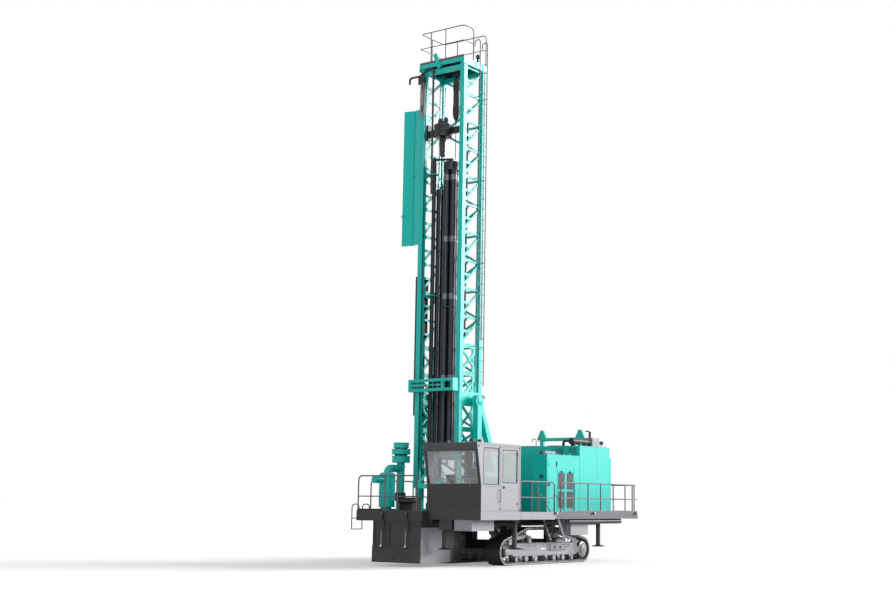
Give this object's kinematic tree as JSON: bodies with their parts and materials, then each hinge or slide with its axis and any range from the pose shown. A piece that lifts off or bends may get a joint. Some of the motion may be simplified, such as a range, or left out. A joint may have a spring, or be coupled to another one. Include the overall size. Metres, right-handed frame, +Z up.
{
  "type": "crawler-mounted rotary blasthole drill rig",
  "caption": "Tracked drilling rig with a tall lattice mast that lowers rearwards, a sliding rotary head, a rod carousel, cab, power house, dust box and levelling jacks.",
  "frame": {"origin": "on the ground, in the middle of the bounding box", "axes": "+X towards the drill end, +Y towards the cab side, +Z up"},
  "size_m": [11.37, 5.77, 20.65],
  "materials": {
    "teal": "satin paint",
    "charcoal": "satin paint",
    "light_grey": "satin paint",
    "rubber": "matt",
    "track_steel": "worn",
    "steel": "dark, oiled",
    "glass": "clear",
    "dark_plastic": "matt",
    "dark_iron": "satin paint"
  },
  "bodies": {
    "carrier": {"main_frame": "charcoal", "rear_deck": "charcoal", "drill_deck": "charcoal", "cab_base": "charcoal", "under_cab_boxes": "light_grey", "deck_tanks": "light_grey", "dust_box": "charcoal", "curtain_rams": "charcoal", "dust_flaps": "rubber", "left_track": "track_steel", "right_track": "track_steel", "left_track_frame": "light_grey", "right_track_frame": "light_grey", "jack_barrels": "charcoal", "cab_shell": "light_grey", "cab_glass": "glass", "cab_interior": "dark_plastic", "cab_roof_lamps": "charcoal", "engine_house": "teal", "radiator_house": "teal", "engine_block": "dark_iron", "front_cabinet": "teal", "roof_exhaust": "dark_iron", "mast_rest": "teal", "dust_collector": "teal", "deck_wrench": "dark_iron", "mast_trestle": "teal", "railings": "charcoal", "ladders": "charcoal"},
    "cab_door_body": {"cab_door": "light_grey", "cab_door_glass": "glass"},
    "service_door_front": {"service_door_1": "teal"},
    "service_door_rear": {"service_door_2": "teal"},
    "curtain": {"dust_curtain": "charcoal"},
    "mast": {"mast_side_near": "teal", "mast_side_far": "teal", "mast_lacing": "teal", "mast_trunnions": "teal", "carousel_bearings": "teal", "mast_crown": "teal", "mast_ladder": "charcoal", "wind_panel": "teal", "guide_frame": "teal", "mast_piping": "dark_iron"},
    "head": {"rotary_head": "dark_iron"},
    "carousel_swing": {"carousel_frame": "dark_iron"},
    "carousel_rods": {"rod_carousel": "steel"},
    "cylinder_barrels": {"mast_cylinder_barrels": "charcoal"},
    "cylinder_rods": {"mast_cylinder_rods": "steel"},
    "jack_drill_left": {"jack_leg_drill_left": "steel"},
    "jack_drill_right": {"jack_leg_drill_right": "steel"},
    "jack_middle_left": {"jack_leg_middle_left": "steel"},
    "jack_middle_right": {"jack_leg_middle_right": "steel"},
    "jack_rear_left": {"jack_leg_rear_left": "steel"},
    "jack_rear_right": {"jack_leg_rear_right": "steel"}
  },
  "joints": [
    {"name": "mast_raise", "type": "hinge", "parent": "carrier", "child": "mast", "pos_m": [2.665, -0.615, 6.05], "axis": [0, -1, 0], "range_deg": [0, 90]},
    {"name": "head_feed", "type": "slide", "parent": "mast", "child": "head", "axis": [0, 0, 1], "range_m": [-12, 0]},
    {"name": "carousel_swing_in", "type": "hinge", "parent": "mast", "child": "carousel_swing", "pos_m": [2.915, -1.34, 10], "axis": [0, 0, -1], "range_deg": [0, 52.66]},
    {"name": "carousel_index", "type": "hinge", "parent": "carousel_swing", "child": "carousel_rods", "pos_m": [2.59471, -0.74015, 10], "axis": [0, 0, 1], "continuous": true},
    {"name": "mast_cylinder_pivot", "type": "hinge", "parent": "carrier", "child": "cylinder_barrels", "pos_m": [2.365, -0.615, 2.2], "axis": [0, -1, 0], "range_deg": [-6.05, 0]},
    {"name": "mast_cylinder_stroke", "type": "slide", "parent": "cylinder_barrels", "child": "cylinder_rods", "axis": [-0.0739, 0, 0.9973], "range_m": [-0.813, 0]},
    {"name": "cab_door_hinge", "type": "hinge", "parent": "carrier", "child": "cab_door_body", "pos_m": [3.053, 2.865, 3.1], "axis": [0, 0, 1], "range_deg": [0, 95]},
    {"name": "service_door_front_hinge", "type": "hinge", "parent": "carrier", "child": "service_door_front", "pos_m": [-0.98, 1.965, 2.8], "axis": [0, 0, -1], "range_deg": [0, 110]},
    {"name": "service_door_rear_hinge", "type": "hinge", "parent": "carrier", "child": "service_door_rear", "pos_m": [-2.11, 1.965, 2.8], "axis": [0, 0, 1], "range_deg": [0, 110]},
    {"name": "curtain_lift", "type": "slide", "parent": "carrier", "child": "curtain", "axis": [0, 0, 1], "range_m": [0, 0.45]},
    {"name": "jack_drill_left_stroke", "type": "slide", "parent": "carrier", "child": "jack_drill_left", "axis": [0, 0, -1], "range_m": [0, 1]},
    {"name": "jack_drill_right_stroke", "type": "slide", "parent": "carrier", "child": "jack_drill_right", "axis": [0, 0, -1], "range_m": [0, 1]},
    {"name": "jack_middle_left_stroke", "type": "slide", "parent": "carrier", "child": "jack_middle_left", "axis": [0, 0, -1], "range_m": [0, 1]},
    {"name": "jack_middle_right_stroke", "type": "slide", "parent": "carrier", "child": "jack_middle_right", "axis": [0, 0, -1], "range_m": [0, 1]},
    {"name": "jack_rear_left_stroke", "type": "slide", "parent": "carrier", "child": "jack_rear_left", "axis": [0, 0, -1], "range_m": [0, 1]},
    {"name": "jack_rear_right_stroke", "type": "slide", "parent": "carrier", "child": "jack_rear_right", "axis": [0, 0, -1], "range_m": [0, 1]}
  ],
  "couplings": [
    {"joint": "mast_cylinder_pivot", "follows": "mast_raise", "ratio": -0.066653},
    {"joint": "mast_cylinder_stroke", "follows": "mast_raise", "m_per_rad": -0.51538}
  ]
}
